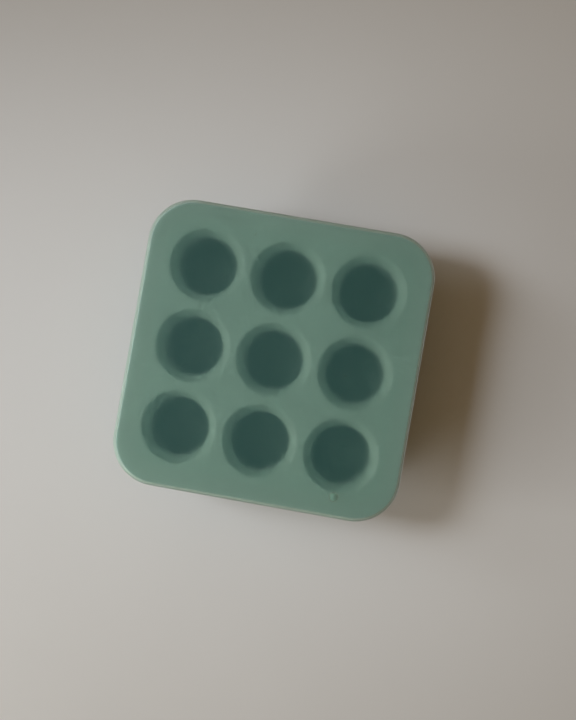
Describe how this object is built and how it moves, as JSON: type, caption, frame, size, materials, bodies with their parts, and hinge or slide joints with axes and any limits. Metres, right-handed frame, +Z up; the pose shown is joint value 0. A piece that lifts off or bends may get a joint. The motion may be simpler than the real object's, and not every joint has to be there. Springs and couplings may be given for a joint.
{
  "type": "baby food freezer tray",
  "caption": "Rounded-square silicone freezer tray with a grid of round hanging cups for puree portions, closed by a frosted translucent lift-off lid with a short skirt.",
  "frame": {"origin": "middle of the underside, on the plane that the cup bottoms stand on", "axes": "+Z up out of the cups and through the lid, -Y the front, +X to the right"},
  "size_m": [0.17, 0.17, 0.0465],
  "materials": {
    "sage_silicone": "matt, very slightly satin, sage green silicone",
    "frosted_lid": "frosted translucent, satin polypropylene, colourless to faintly milky"
  },
  "bodies": {
    "tray": {"silicone_tray": "sage_silicone"},
    "lid": {"snap_lid": "frosted_lid"}
  },
  "joints": [
    {"name": "lid_lift", "type": "slide", "parent": "tray", "child": "lid", "axis": [0, 0, 1], "range_m": [0, 0.07]}
  ]
}
